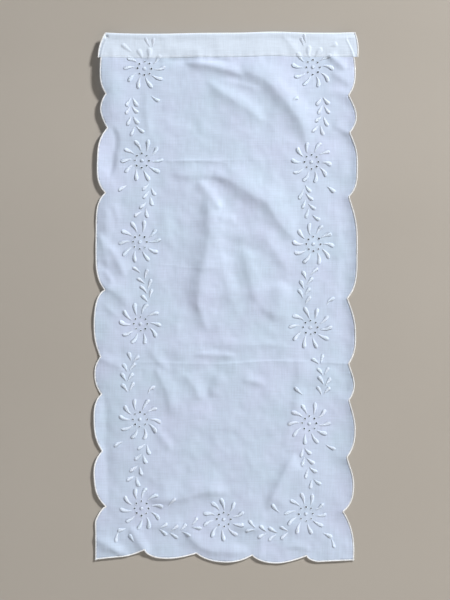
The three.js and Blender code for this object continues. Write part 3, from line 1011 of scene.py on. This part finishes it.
def cotton_material():
    """Fine white cotton, a little bluish, whiter where doubled, with a painted highlight on the fold."""
    material, tree, shader = new_material("fine_cotton", COTTON_ROUGHNESS, sheen=0.12)
    place = result(tree, "ShaderNodeUVMap", uv_map="flat")
    in_mm = result(tree, "ShaderNodeMapping", {"Vector": place, "Scale": (1 / MM, 1 / MM, 1)})
    weave = use_group(tree, WEAVE, {"Place": in_mm, "Threads": 2.4, "Slubs": 2.0})
    tints = {"Place": place, "Size": 0.08, "Cool": SINGLE_COOL, "Warm": SINGLE_WARM}
    single = use_group(tree, TINT, tints)["Color"]
    colour = mixed_colour(tree, stored(tree, "double"), single, DOUBLED)
    # Painted highlight along the top of the fold, mixed in over the cloth's colour.
    colour = mixed_colour(tree, stored(tree, "pressed"), colour, PAINTED_FOLD_HIGHLIGHT)
    surface = {
        "Base Color": shaded(tree, colour, weave["Shade"], depth=0.10),
        "Normal": bumped(tree, weave["Height"], strength=0.35, distance=0.00012),
        "Roughness": maths(tree, "MULTIPLY_ADD", weave["Shade"], 0.1, COTTON_ROUGHNESS),
    }
    fill(tree, shader, surface)
    return material


def tinted(tree, cool, warm, size):
    """Soft patches of two near colours, laid out in the object's own places."""
    place = put(tree, "ShaderNodeTexCoord").outputs["Object"]
    return use_group(tree, TINT, {"Place": place, "Size": size, "Cool": cool, "Warm": warm})


def thread_material(name, cool, warm, roughness, sheen, turns):
    """Soft twisted cotton thread."""
    material, tree, shader = new_material(name, roughness, sheen)
    tint = tinted(tree, cool, warm, size=0.05)
    twist = use_group(tree, TWIST, {"Turns": turns})
    surface = {
        "Base Color": shaded(tree, tint["Color"], twist["Shade"], depth=0.12),
        "Normal": bumped(tree, twist["Height"], strength=0.3, distance=0.00006),
        "Roughness": maths(tree, "MULTIPLY_ADD", tint["Patch"], 0.08, roughness - 0.04),
    }
    fill(tree, shader, surface)
    return material


COTTON = cotton_material()
SATIN_THREAD = thread_material(
    "satin_thread", (0.70, 0.81, 0.95, 1), (0.74, 0.82, 0.96, 1), roughness=0.62, sheen=0.1, turns=4.0
)
EDGING_THREAD = thread_material(
    "edging_thread", (0.88, 0.92, 0.96, 1), (0.93, 0.94, 0.95, 1), roughness=0.62, sheen=0.15, turns=3.0
)
SEAM_THREAD = thread_material(
    "seam_thread", (0.80, 0.84, 0.90, 1), (0.84, 0.86, 0.92, 1), roughness=0.6, sheen=0.1, turns=3.0
)


# The cloth.


def side_outline(notches, side, end):
    """A side edge from the bottom corner up the panel, over the fold and down the flap to end."""
    panel = edge_places(notches)[::-1]
    panel = panel[(panel < FOLD_START - 0.5) & (panel > notches[-1].place)]
    fold = np.linspace(FOLD_START, FOLD_END, 9)
    flap = np.arange(FOLD_END + FOLD_GRID, end - 1, EDGE_GRID)
    along = np.concatenate([panel, fold, flap, [end]])
    return np.column_stack([side_limits(along)[side], along])


def outline_to(end):
    """The outline from the left side's end, round the bottom, to the right side's end."""
    x = edge_places(BOTTOM_EDGE)
    bottom = np.column_stack([x, edge_at(BOTTOM_EDGE, -1, x)])
    left = side_outline(LEFT_EDGE, 0, end)
    return np.vstack([left[::-1], bottom, side_outline(RIGHT_EDGE, 1, end)])


def inside_cloth(points, margin):
    left, right = side_limits(points[:, 1])
    bottom = edge_at(BOTTOM_EDGE, -1, points[:, 0])
    sides = (points[:, 0] > left + margin) & (points[:, 0] < right - margin)
    return sides & (points[:, 1] > bottom + margin) & (points[:, 1] < RUN_END - margin / 2)


def grid_points():
    """Points for the inside of the cloth, in offset rows that lie closer together where it bends."""
    row_step = CLOTH_GRID * math.sqrt(3) / 2
    panel = np.arange(GRID_BOTTOM, FOLD_START - CLOTH_GRID / 2, row_step)
    step = FLAP_BOTTOM + np.array(STEP_ROWS)
    panel = panel[(panel < step[0] - 1) | (panel > step[-1] + 1)]
    fold = np.arange(FOLD_START, FOLD_END + FOLD_GRID, FOLD_GRID)
    flap = np.arange(FOLD_END + 1.5 * FOLD_GRID, FLAP_END - 1, row_step)
    hem = FLAP_END + np.array(HEM_ROWS)
    raw_edge = np.arange(FLAP_END + RAW_EDGE_START, RUN_END - 1, RAW_EDGE_GRID)
    rows = []
    for i, along in enumerate([*panel, *step, *fold, *flap, *hem, *raw_edge]):
        across = np.arange(GRID_LEFT, GRID_RIGHT, CLOTH_GRID) + (i % 2) * CLOTH_GRID / 2
        if along > FOLD_END:
            across = across[np.abs(across) < FINE_START]
        rows.append(row_at(along, across))
    fine = np.arange(FOLD_END + FINE_GRID, RUN_END - 1, FINE_GRID * math.sqrt(3) / 2)
    fine = fine[np.abs(fine - FLAP_END) > HEM_GAP]
    for i, along in enumerate([*fine, *hem]):
        across = np.arange(FINE_START, GRID_RIGHT, FINE_GRID) + (i % 2) * FINE_GRID / 2
        rows.append(row_at(along, np.concatenate([-across, across])))
    return np.vstack(rows)


def crease_points():
    """Rows of points along each narrow crease, so that its top and its flanks are kept."""
    rows = []
    for crease in CREASES:
        line = smooth_line(crease.points)
        gone = distances_along(line)
        places = np.arange(0, gone[-1], CREASE_GRID)
        middle = np.column_stack([np.interp(places, gone, column) for column in line.T])
        way = unit(np.gradient(middle, axis=0))
        for step, offset in enumerate(CREASE_ROWS):
            rows.append(middle + left_of(way) * offset + way * (step % 2) * CREASE_GRID / 2)
    return np.vstack(rows)


def cloth_points(eyelets):
    """The cloth's outline, and the points inside it that keep clear of creases and eyelets."""
    sides = outline_to(RUN_END)
    top = np.arange(sides[-1, 0] - EDGE_GRID, sides[0, 0] + 1, -EDGE_GRID)
    grid = grid_points()
    grid = grid[inside_cloth(grid, EDGE_MARGIN)]
    creases = crease_points()
    for crease in CREASES:
        grid = grid[beside_line(grid, smooth_line(crease.points))[0] > CREASE_GAP]
    for middle, _ in eyelets:
        grid = grid[distances_to(middle, grid) > EYELET_RIM + EYELET_GAP]
        creases = creases[distances_to(middle, creases) > EYELET_RIM + EYELET_GAP]
    return [np.vstack([sides, row_at(RUN_END, top)]), grid, creases]


def ring_edges(count, first):
    """Edges that join points in turn and close the ring."""
    turn = np.arange(count)
    return np.column_stack([turn, np.roll(turn, -1)]) + first


def panel_cloth():
    """The whole cut cloth, with its eyelets cut out: its points, its triangles and its area."""
    eyelets = worked_eyelets()
    points = cloth_points(eyelets)
    edges = [ring_edges(len(points[0]), 0)]
    spokes = np.arange(HOLE_SIDES) * 2 * math.pi / HOLE_SIDES
    for middle, hole in eyelets:
        edges.append(ring_edges(HOLE_SIDES, sum(len(part) for part in points)))
        points.append(middle + hole * turned(spokes))
        points.append(middle + EYELET_RIM * turned(spokes + math.pi / HOLE_SIDES))
    given = [Vector(point) for point in np.vstack(points)]
    found = geometry.delaunay_2d_cdt(given, np.vstack(edges).tolist(), [], 1, 1e-4)
    corners = np.array([list(point) for point in found[0]])
    triangles = np.array([list(triangle) for triangle in found[2]])
    for middle, hole in eyelets:
        away = distances_to(middle, corners[triangles].mean(axis=1))
        triangles = triangles[away > hole * INSIDE_HOLE]
    sides = corners[triangles]
    run, rise = sides[:, 1] - sides[:, 0], sides[:, 2] - sides[:, 0]
    area = (run[:, 0] * rise[:, 1] - run[:, 1] * rise[:, 0]) / 2
    triangles[area < 0] = triangles[area < 0][:, ::-1]
    used, triangles = np.unique(triangles, return_inverse=True)
    return corners[used], triangles.reshape(-1, 3), np.abs(area).sum()


def panel_object():
    corners, triangles, area = panel_cloth()
    along = corners[:, 1]
    flat = np.column_stack([corners, np.zeros(len(corners))])
    mesh = new_mesh("panel_cloth", flat.tolist(), [], triangles.tolist())
    uv = mesh.uv_layers.new(name="flat")
    uv.data.foreach_set("uv", (corners[triangles.ravel()] * MM).astype(np.float32).ravel())
    add_values(mesh, "double", smoothstep(along, FLAP_BOTTOM, FLAP_BOTTOM + 1))
    # A painted highlight in a narrow band along the fold's top, just before its end.
    add_values(mesh, "pressed", bell(along - FOLD_END + FOLD_HIGHLIGHT_BACK, FOLD_HIGHLIGHT_SPREAD))
    mesh.shade_smooth()
    hang_mesh(mesh)
    cloth = new_object("panel_cloth", mesh)
    cloth.data.materials.append(COTTON)
    solid = cloth.modifiers.new("thickness", "SOLIDIFY")
    solid.thickness = CLOTH * MM
    solid.offset = 0
    return cloth, area


# Stitches.


def stitch_mesh(name, angles, section, closed):
    """A thread bent round part of a circle, with its own across and beside coordinates."""
    fullness = 1 if closed else ARCH_FULLNESS
    points = []
    for angle in angles:
        for out, beside in section:
            radius = 1 + out
            points.append((-radius * math.cos(angle), beside, radius * math.sin(angle) ** fullness))
    sides, rings = len(section), len(angles)
    faces = []
    for r in range(rings if closed else rings - 1):
        here, there = r * sides, (r + 1) % rings * sides
        for s in range(sides):
            faces.append((here + s, here + (s + 1) % sides, there + (s + 1) % sides, there + s))
    if not closed:
        faces.append(tuple(range(sides))[::-1])
        faces.append(tuple(range((rings - 1) * sides, rings * sides)))
    mesh = new_mesh(name, points, [], faces)
    add_values(mesh, "across", [point[0] for point in points])
    add_values(mesh, "beside", [point[1] for point in points])
    point_outward(mesh)
    mesh.shade_smooth()
    return new_object(name, mesh)


def point_outward(mesh):
    """Turns a closed mesh's faces to point out."""
    work = bmesh.new()
    work.from_mesh(mesh)
    bmesh.ops.recalc_face_normals(work, faces=work.faces)
    work.to_mesh(mesh)
    work.free()


def arched_stitch():
    """One laid stitch, a unit wide, high and long, arched over its padding."""
    section = [(0.16, 0), (0, 0.52), (-0.16, 0), (0, -0.52)]
    return stitch_mesh("arched_stitch", np.linspace(0, math.pi, 5), section, False)


def wrapped_stitch():
    """One stitch that wraps right round a cord."""
    section = [(0.16, 0), (-0.12, 0.52), (-0.12, -0.52)]
    return stitch_mesh("wrapped_stitch", np.arange(8) * math.pi / 4, section, True)


def half_width(tree):
    """The half width that a path carries at each of its points."""
    named = {"Name": "half_width"}
    return result(tree, "GeometryNodeInputNamedAttribute", named, data_type="FLOAT")


def with_material(tree, shape, material):
    real = result(tree, "GeometryNodeRealizeInstances", {"Geometry": shape})
    return result(tree, "GeometryNodeSetMaterial", {"Geometry": real, "Material": material})


def stitch_tree():
    """Geometry Nodes: threads laid side by side across a path, each as wide as the path says there."""
    inputs = {
        "Geometry": "Geometry", "Stitch": "Object", "Material": "Material", "Seed": "Int",
        "Pitch": "Float", "Thread": "Float", "Loft": "Float", "Loft Share": "Float",
        "Slant": "Float", "Unevenness": "Float",
    }
    outputs = {"Geometry": "Geometry"}
    tree, given, last = new_tree("laid_stitches", "GeometryNodeTree", inputs, outputs)

    def chance(low, high, shift):
        limits = {2: low, 3: high, "Seed": maths(tree, "ADD", given["Seed"], shift)}
        return put(tree, "FunctionNodeRandomValue", limits, data_type="FLOAT").outputs[1]

    curve = result(tree, "GeometryNodeMeshToCurve", {"Mesh": given["Geometry"]})
    smooth = result(tree, "GeometryNodeCurveSplineType", {"Curve": curve}, spline_type="CATMULL_ROM")
    spacing = {"Curve": smooth, "Length": given["Pitch"]}
    even = result(tree, "GeometryNodeResampleCurve", spacing, mode="LENGTH")
    ways = {"Primary Axis": (0, 0, 1), "Secondary Axis": result(tree, "GeometryNodeInputTangent")}
    facing = result(tree, "FunctionNodeAxesToRotation", ways, primary_axis="Z", secondary_axis="Y")
    wander = maths(tree, "MULTIPLY", given["Unevenness"], SLANT_UNEVENNESS)
    slant = maths(tree, "MULTIPLY_ADD", chance(-1.0, 1.0, 1), wander, given["Slant"])
    angles = result(tree, "ShaderNodeCombineXYZ", {2: slant})
    turns = {0: facing, 1: result(tree, "FunctionNodeEulerToRotation", {0: angles})}
    rotation = result(tree, "FunctionNodeRotateRotation", turns, rotation_space="LOCAL")
    spread = maths(tree, "MULTIPLY_ADD", chance(-1.0, 1.0, 2), given["Unevenness"], 1.0)
    half = half_width(tree)
    wide = maths(tree, "MULTIPLY", half, spread)
    high = maths(tree, "MULTIPLY_ADD", half, given["Loft Share"], given["Loft"])
    size = result(tree, "ShaderNodeCombineXYZ", {0: wide, 1: given["Thread"], 2: high})
    stitch = put(tree, "GeometryNodeObjectInfo", {"Object": given["Stitch"]}).outputs["Geometry"]
    places = {"Points": even, "Instance": stitch, "Rotation": rotation, "Scale": size}
    laid = result(tree, "GeometryNodeInstanceOnPoints", places)
    shades = {"Geometry": laid, "Name": "own_shade", "Value": chance(0.0, 1.0, 3)}
    kind = {"data_type": "FLOAT", "domain": "INSTANCE"}
    kept = result(tree, "GeometryNodeStoreNamedAttribute", shades, **kind)
    fill(tree, last, {"Geometry": with_material(tree, kept, given["Material"])})
    return tree


def padding_tree():
    """Geometry Nodes: a low rounded core under the stitches of each path."""
    inputs = {
        "Geometry": "Geometry", "Material": "Material", "Sides": "Int",
        "Width Share": "Float", "Above": "Float", "Below": "Float",
    }
    outputs = {"Geometry": "Geometry"}
    tree, given, last = new_tree("stitch_padding", "GeometryNodeTree", inputs, outputs)
    curve = result(tree, "GeometryNodeMeshToCurve", {"Mesh": given["Geometry"]})
    inner = maths(tree, "MULTIPLY", half_width(tree), given["Width Share"])
    round_section = {"Resolution": given["Sides"], "Radius": 1.0}
    circle = result(tree, "GeometryNodeCurvePrimitiveCircle", round_section)
    swept = {"Curve": curve, "Profile Curve": circle, "Scale": inner, "Fill Caps": True}
    tube = result(tree, "GeometryNodeCurveToMesh", swept)
    x, y, z = put(tree, "ShaderNodeSeparateXYZ", {0: result(tree, "GeometryNodeInputPosition")}).outputs
    above = maths(tree, "GREATER_THAN", z, 0.0)
    span = maths(tree, "SUBTRACT", given["Above"], given["Below"])
    share = maths(tree, "MULTIPLY_ADD", above, span, given["Below"])
    flat = result(tree, "ShaderNodeCombineXYZ", {0: x, 1: y, 2: maths(tree, "MULTIPLY", z, share)})
    moved = result(tree, "GeometryNodeSetPosition", {"Geometry": tube, "Position": flat})
    fill(tree, last, {"Geometry": with_material(tree, moved, given["Material"])})
    return tree


ARCHED = arched_stitch()
WRAPPED = wrapped_stitch()
LAID = stitch_tree()
PADDING = padding_tree()


def path_object(name, paths, lift):
    """An object of loose edges that carries each path's half width."""
    points, edges, widths = [], [], []
    for path in paths:
        first = len(points)
        last = first + len(path.points) - 1
        points.extend((x, along, lift) for x, along in path.points)
        widths.extend(path.half_widths)
        edges.extend((i, i + 1) for i in range(first, last))
        if path.closed:
            edges.append((last, first))
    mesh = new_mesh(name, points, edges, [])
    add_values(mesh, "half_width", widths)
    return new_object(name, mesh)


def grown(made, tree, values, turned_over):
    """Runs a tree on an object with its named inputs, and keeps the result as a plain hanging mesh.

    Turned over, it lies on the other side of the cloth.
    """
    modifier = made.modifiers.new("grown", "NODES")
    modifier.node_group = tree
    for item in tree.interface.items_tree:
        if item.in_out == "INPUT" and item.name in values:
            modifier[item.identifier] = values[item.name]
    depsgraph = bpy.context.evaluated_depsgraph_get()
    mesh = bpy.data.meshes.new_from_object(
        made.evaluated_get(depsgraph), preserve_all_data_layers=True, depsgraph=depsgraph
    )
    made.modifiers.clear()
    paths = made.data
    made.data = mesh
    mesh.name = made.name
    bpy.data.meshes.remove(paths)
    if turned_over:
        mesh.transform(Matrix.Scale(-1, 4, (0, 0, 1)))
        mesh.flip_normals()
    hang_mesh(mesh)
    return made


def arched(name, paths, material, stitch, seed, turned_over=False):
    values = {"Stitch": ARCHED, "Material": material, "Seed": seed, **stitch}
    return grown(path_object(name, paths, STITCH_LIFT), LAID, values, turned_over)


def wrapped(name, paths, material, stitch, seed):
    values = {"Stitch": WRAPPED, "Material": material, "Seed": seed, **stitch}
    return grown(path_object(name, paths, 0.0), LAID, values, False)


def padded(names, paths, stitch, padding, seed, turned_over=False):
    """Satin stitches and the padding that fills them."""
    values = {"Sides": PADDING_SIDES, "Material": SATIN_THREAD, **padding}
    return [
        arched(names[0], paths, SATIN_THREAD, stitch, seed, turned_over),
        grown(path_object(names[1], paths, 0.0), PADDING, values, turned_over),
    ]


def seam(name, along, seed):
    """One face of the casing's seam. Both of its faces lie on the back of the cloth."""
    return arched(name, seam_paths(along), SEAM_THREAD, SEAM_STITCH, seed, True)


def make_stitches():
    petals = ("daisy_petals", "petal_padding")
    dots = ("daisy_dots", "dot_padding")
    leaves = ("leaves", "leaf_padding")
    flap_leaves = ("flap_leaves", "flap_leaf_padding")
    pieces = [
        *padded(petals, PETAL_PATHS, PETAL_STITCH, PETAL_PADDING, seed=11),
        *padded(dots, dot_paths(), DOT_STITCH, DOT_PADDING, seed=12),
        *padded(leaves, LEAF_PATHS, LEAF_STITCH, PETAL_PADDING, seed=13),
        *padded(
            flap_leaves, FLAP_LEAF_PATHS, FLAP_LEAF_STITCH, FLAP_LEAF_PADDING, seed=18, turned_over=True
        ),
        wrapped("eyelet_rims", rim_paths(), SATIN_THREAD, RIM_STITCH, seed=14),
        wrapped("corded_edging", edging_paths(), EDGING_THREAD, EDGING_STITCH, seed=15),
        seam("seam_front", FLAP_END - TURNING, seed=16),
        seam("seam_back", -SEAM_DROP, seed=17),
    ]
    for shape in (ARCHED, WRAPPED):
        bpy.data.meshes.remove(shape.data)
    return pieces


# The studio. The backdrop follows the panel a little behind it, and stands further back behind the
# casing. A patch of painted shade on it behind the panel, in metres, shows dark through the eyelets.

FLOOR = -1050
COVE = 60
STAGE_HALF_WIDTH = 3000
STAGE_REACH = 4000
WALL = -1.5
WALL_TOP = 6.4
WALL_RAMP = (-330, -20)
PANEL_MIDDLE = -0.46
PAINTED_SHADE = (0.018, 0.022, 0.030, 1)
SHADE_HALF_WIDTH = 0.2
SHADE_HALF_HEIGHT = 0.42
SHADE_SOFTNESS = 0.02
PAPER = ((0.42, 0.39, 0.35, 1), (0.44, 0.41, 0.37, 1))
PAINT = ((0.50, 0.47, 0.43, 1), (0.53, 0.50, 0.46, 1))
# The key light's distance from the panel's middle in metres, and its angles in degrees: how far it
# stands off the panel's plane, and how far round in that plane, from the right upwards.
KEY_DISTANCE = 6.5
KEY_OUT = 25
KEY_TURN = 45
# The camera looks straight at this place, from a distance at which this height fills its view.
LOOKED_AT = (-0.0014, -0.4674)
CAMERA_DISTANCE = 1.6
SEEN_HEIGHT = 1.05


def backdrop_material():
    """Pale paper with painted shade behind the panel, see-through from behind to show the panel's back.
    """
    material, tree, shader = new_material("backdrop_paper", roughness=0.95, sheen=0.0)
    colour = tinted(tree, *PAPER, size=0.5)["Color"]
    place = put(tree, "ShaderNodeTexCoord").outputs["Object"]
    x, _, z = put(tree, "ShaderNodeSeparateXYZ", {0: place}).outputs

    def within(place, middle, reach):
        away = maths(tree, "ABSOLUTE", maths(tree, "SUBTRACT", place, middle))
        return result(tree, "ShaderNodeMapRange", {0: away, 1: reach, 2: reach - SHADE_SOFTNESS})

    across, up = within(x, 0.0, SHADE_HALF_WIDTH), within(z, PANEL_MIDDLE, SHADE_HALF_HEIGHT)
    # Painted shade: the paper is made near black behind the panel, where the eyelets show it.
    colour = mixed_colour(tree, maths(tree, "MULTIPLY", across, up), colour, PAINTED_SHADE)
    fill(tree, shader, {"Base Color": colour})
    behind = put(tree, "ShaderNodeNewGeometry").outputs["Backfacing"]
    clear = result(tree, "ShaderNodeBsdfTransparent")
    both = result(tree, "ShaderNodeMixShader", {0: behind, 1: shader.outputs[0], 2: clear})
    fill(tree, tree.nodes["Material Output"], {"Surface": both})
    return material


def floor_material():
    material, tree, shader = new_material("floor_paint", roughness=0.7, sheen=0.0)
    fill(tree, shader, {"Base Color": tinted(tree, *PAINT, size=0.6)["Color"]})
    return material


def stage_strip(name, profile, material):
    """A wide strip whose side view is the profile of (y, z)."""
    ends = (-STAGE_HALF_WIDTH, STAGE_HALF_WIDTH)
    points = [(x * MM, y * MM, z * MM) for y, z in profile for x in ends]
    faces = [(2 * i, 2 * i + 2, 2 * i + 3, 2 * i + 1) for i in range(len(profile) - 1)]
    made = new_object(name, new_mesh(name, points, [], faces))
    made.data.shade_smooth()
    made.data.materials.append(material)
    return made


def make_stage():
    """The backdrop, rounded into the floor in front of it, and a floor behind it."""
    heights = np.concatenate([[1200, 300], np.linspace(0, -340, 25), [-600, FLOOR + COVE]])
    depths = mix(WALL, WALL_TOP, smoothstep(heights, *WALL_RAMP))
    turn = np.linspace(0, math.pi / 2, 9)[1:]
    cove = [(WALL - COVE * (1 - math.cos(t)), FLOOR + COVE * (1 - math.sin(t))) for t in turn]
    wall = stage_strip("backdrop", [*zip(depths, heights), *cove], backdrop_material())
    wall.visible_shadow = False
    wall.visible_diffuse = False
    wall.visible_glossy = False
    stage_strip("floor", [(WALL - COVE, FLOOR), (-STAGE_REACH, FLOOR)], floor_material())
    behind = [(STAGE_REACH, FLOOR), (WALL - COVE, FLOOR - 0.5)]
    stage_strip("floor_behind", behind, floor_material())


def area_light(name, place, size, power, colour):
    """A round light that points at the panel's middle."""
    light = bpy.data.lights.new(name, "AREA")
    light.shape = "DISK"
    light.size = size
    light.energy = power
    light.color = colour
    made = new_object(name, light)
    made.location = place
    way = Vector((0, 0, PANEL_MIDDLE)) - Vector(place)
    made.rotation_euler = way.to_track_quat("-Z", "Y").to_euler()


def make_lights():
    out, turn = math.radians(KEY_OUT), math.radians(KEY_TURN)
    key_way = Vector((math.cos(out) * math.cos(turn), -math.sin(out), math.cos(out) * math.sin(turn)))
    key_place = Vector((0, 0, PANEL_MIDDLE)) + key_way * KEY_DISTANCE
    area_light("key", key_place, size=0.9, power=626, colour=(1.0, 0.985, 0.965))
    area_light("fill", (-0.9, -3.2, 0.4), size=2.2, power=4, colour=(0.92, 0.96, 1.0))
    area_light("back_fill", (-1.4, 2.6, 0.5), size=2.0, power=24, colour=(0.96, 0.98, 1.0))
    world = bpy.data.worlds.new("studio")
    world.use_nodes = True
    tree = world.node_tree
    fill(tree, tree.nodes["Background"], {"Color": (0.86, 0.91, 1.0, 1), "Strength": 0.1})
    bpy.context.scene.world = world
    bpy.context.scene.view_settings.view_transform = "Standard"


def make_camera():
    camera = bpy.data.cameras.new("camera")
    camera.lens = camera.sensor_width * CAMERA_DISTANCE / SEEN_HEIGHT
    camera.clip_start = 0.01
    made = new_object("camera", camera)
    made.location = (LOOKED_AT[0], -CAMERA_DISTANCE, LOOKED_AT[1])
    made.rotation_euler = (math.pi / 2, 0, 0)
    bpy.context.scene.camera = made


def main():
    cloth, area = panel_object()
    stitches = make_stitches()
    for piece in (cloth, *stitches):
        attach(piece, "root")
    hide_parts("panel")
    make_stage()
    make_lights()
    make_camera()


main()
